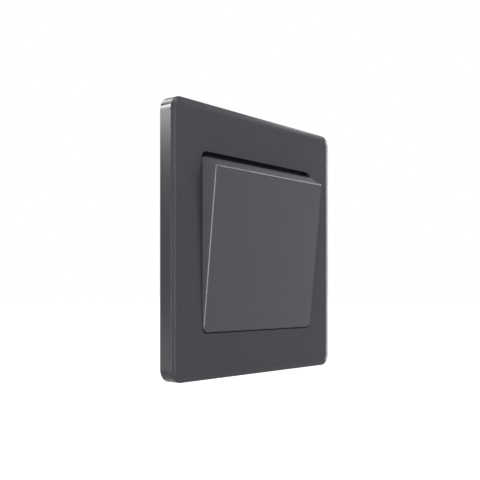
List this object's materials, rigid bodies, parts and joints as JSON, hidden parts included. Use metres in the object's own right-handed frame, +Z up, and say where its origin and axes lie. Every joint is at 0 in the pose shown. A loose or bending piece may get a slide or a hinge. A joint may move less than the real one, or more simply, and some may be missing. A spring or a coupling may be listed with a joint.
{
  "type": "hotel key card switch",
  "caption": "Wall-mounted key card switch: anthracite clip-on plate, sloping card hood with a slot on top, card lever, microswitch, relay board and screw terminals",
  "frame": {"origin": "centre of the wall face: the plane where the steel frame and the plate's rim meet the wall", "axes": "+X to the right seen from the front, +Y into the wall, +Z up; the front faces -Y"},
  "size_m": [0.086, 0.03, 0.086],
  "materials": {
    "anthracite_plastic": "fine satin moulded thermoplastic, anthracite",
    "black_plastic": "black moulded thermoplastic",
    "grey_plastic": "grey flame-retardant thermoplastic",
    "white_plastic": "natural white acetal",
    "red_plastic": "dark red thermoset",
    "blue_plastic": "blue moulded case or coating",
    "yellow_plastic": "yellow capacitor case",
    "dark_sleeve": "shrunk plastic sleeve",
    "tan_lacquer": "tan resistor lacquer",
    "fuse_glass": "ceramic tube fuse",
    "board_laminate": "glass-epoxy laminate with green solder mask",
    "zinc_steel": "bright zinc-plated steel",
    "brass": "plain brass",
    "copper_alloy": "copper alloy spring strip"
  },
  "bodies": {
    "base": {"card_hood": "anthracite_plastic", "card_chassis": "black_plastic", "mounting_frame": "zinc_steel", "chassis_screws": "zinc_steel", "earth_screw": "brass", "rear_housing": "grey_plastic", "housing_screws": "zinc_steel", "circuit_board": "board_laminate", "board_screws": "zinc_steel", "relay": "blue_plastic", "dropper_capacitor": "yellow_plastic", "smoothing_capacitor": "dark_sleeve", "varistor": "blue_plastic", "bridge_rectifier": "black_plastic", "timer_chip": "black_plastic", "board_fuse": "fuse_glass", "resistors": "tan_lacquer", "terminal_clamps": "brass", "terminal_screws": "zinc_steel", "switch_case": "black_plastic", "switch_lid": "red_plastic", "switch_terminals": "brass", "lever_pin": "zinc_steel", "lever_spring": "zinc_steel"},
    "front_plate": {"front_plate": "anthracite_plastic"},
    "card_lever": {"card_lever": "white_plastic"},
    "switch_plunger": {"switch_plunger": "white_plastic"},
    "contact_blade": {"contact_blade": "copper_alloy"}
  },
  "joints": [
    {"name": "plate_pull", "type": "slide", "parent": "base", "child": "front_plate", "axis": [0, -1, 0], "range_m": [0, 0.014]},
    {"name": "lever_swing", "type": "hinge", "parent": "base", "child": "card_lever", "pos_m": [0, 0.0042, -0.0085], "axis": [1, 0, 0], "range_deg": [0, 15], "stiffness_Nm_per_rad": 0.001, "springref_deg": -14.32, "deforming": ["lever_spring"]},
    {"name": "plunger_press", "type": "slide", "parent": "base", "child": "switch_plunger", "axis": [0, 1, 0], "range_m": [0, 0.00132]},
    {"name": "blade_rock", "type": "hinge", "parent": "base", "child": "contact_blade", "pos_m": [0, 0.01015, -0.0208], "axis": [-1, 0, 0], "range_deg": [0, 9.5]}
  ],
  "couplings": [
    {"joint": "plunger_press", "follows": "lever_swing", "m_per_rad": 0.005},
    {"joint": "blade_rock", "follows": "lever_swing", "ratio": 0.63}
  ]
}
